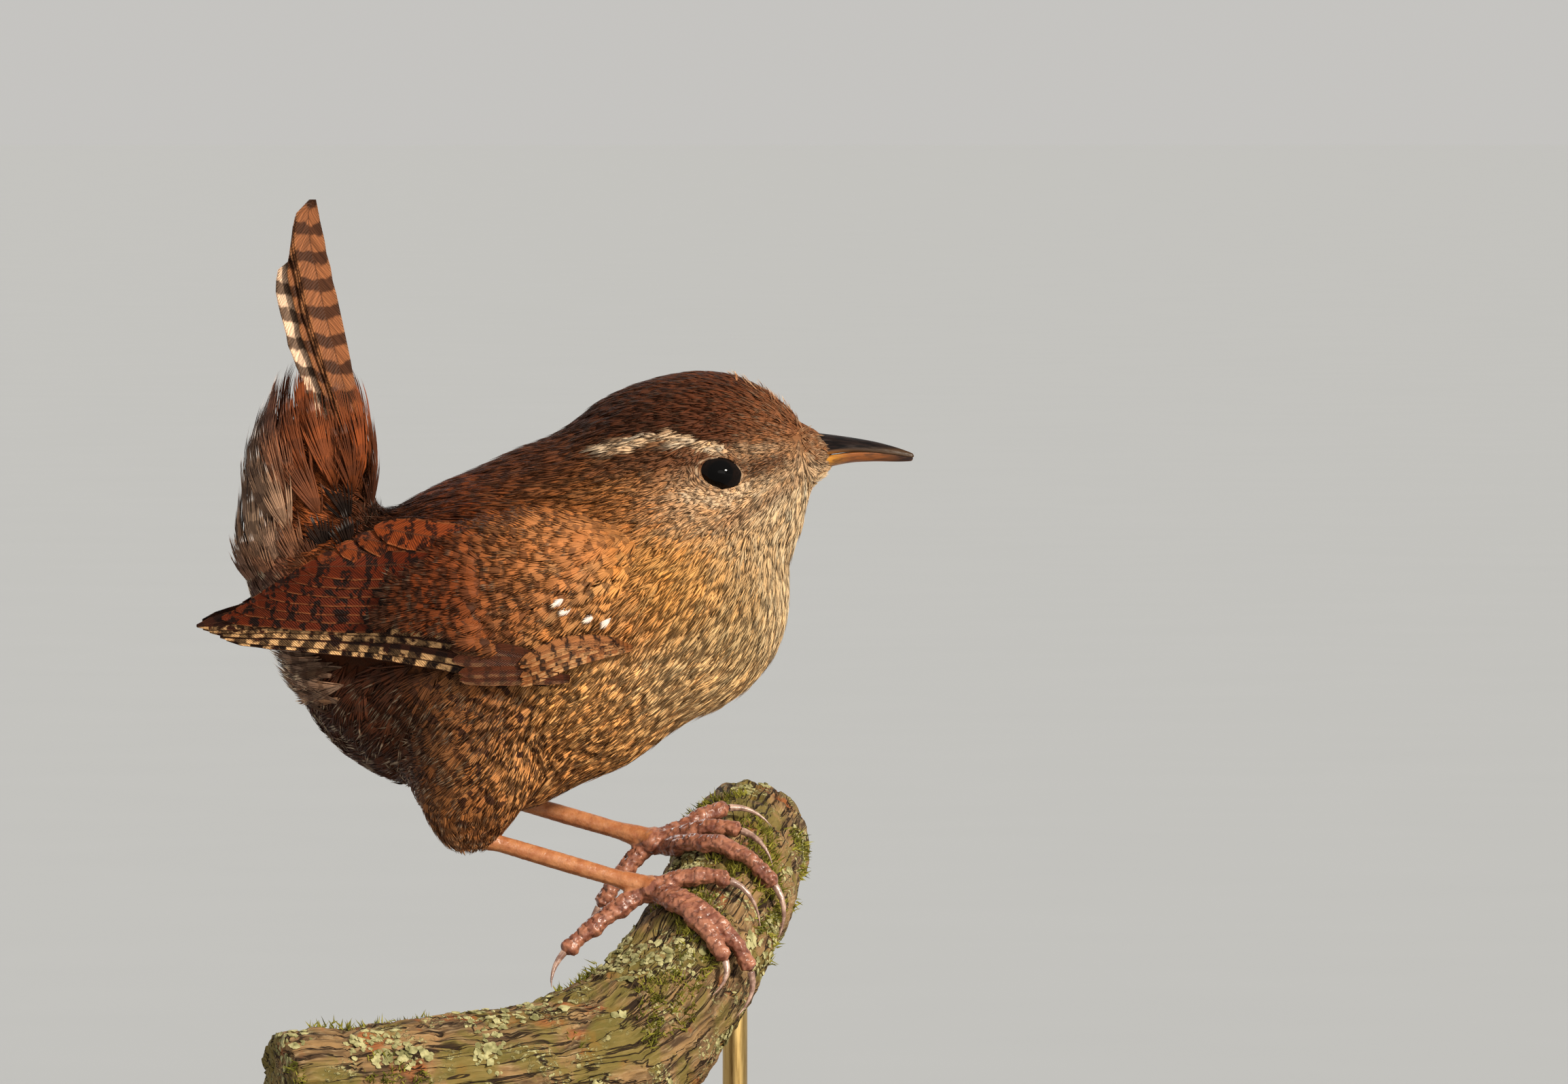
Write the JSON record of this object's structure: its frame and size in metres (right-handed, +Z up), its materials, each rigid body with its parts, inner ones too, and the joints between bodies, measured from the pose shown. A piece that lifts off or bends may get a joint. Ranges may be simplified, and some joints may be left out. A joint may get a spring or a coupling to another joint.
{
  "type": "wren figure on perch stand",
  "caption": "Life-size Eurasian wren with cocked tail, gripping a cut length of mossy branch on a plain round display stand.",
  "frame": {"origin": "centre of the underside of the stand's base", "axes": "+X the way the bird faces, +Y the bird's left, +Z up"},
  "size_m": [0.086, 0.084, 0.1147],
  "materials": {
    "plumage": "soft body feathers, rufous brown above, buff below with dark bars",
    "tail_coverts": "soft long coverts round the tail's foot, dark with pale tips",
    "tail_feathers": "rufous feathers with dark bars",
    "wing_feathers": "rufous feathers with black bars and cream spots",
    "eye": "wet glossy blackish brown",
    "bill_upper": "horn, blackish brown",
    "bill_lower": "horn, pale with a yellow root",
    "leg": "scaly skin, orange brown",
    "claw": "horn, pinkish grey brown",
    "bark": "rough bark with moss and lichen",
    "stand_wood": "turned wood, satin",
    "stand_rod": "thin rod, satin"
  },
  "bodies": {
    "root": {"head": "plumage", "neck": "plumage", "torso": "plumage", "thigh_right": "plumage", "thigh_left": "plumage", "tail_coverts": "tail_coverts", "tail": "tail_feathers", "wing_right": "wing_feathers", "wing_left": "wing_feathers", "eye_right": "eye", "eye_left": "eye", "bill_upper": "bill_upper", "bill_lower": "bill_lower", "tarsus_right": "leg", "tarsus_left": "leg", "foot_right": "leg", "foot_left": "leg", "perch": "bark", "stand_base": "stand_wood", "stand_rod_1": "stand_rod", "stand_rod_2": "stand_rod", "claw_right_1": "claw", "claw_right_2": "claw", "claw_right_3": "claw", "claw_right_4": "claw", "claw_left_1": "claw", "claw_left_2": "claw", "claw_left_3": "claw", "claw_left_4": "claw"}
  },
  "joints": []
}
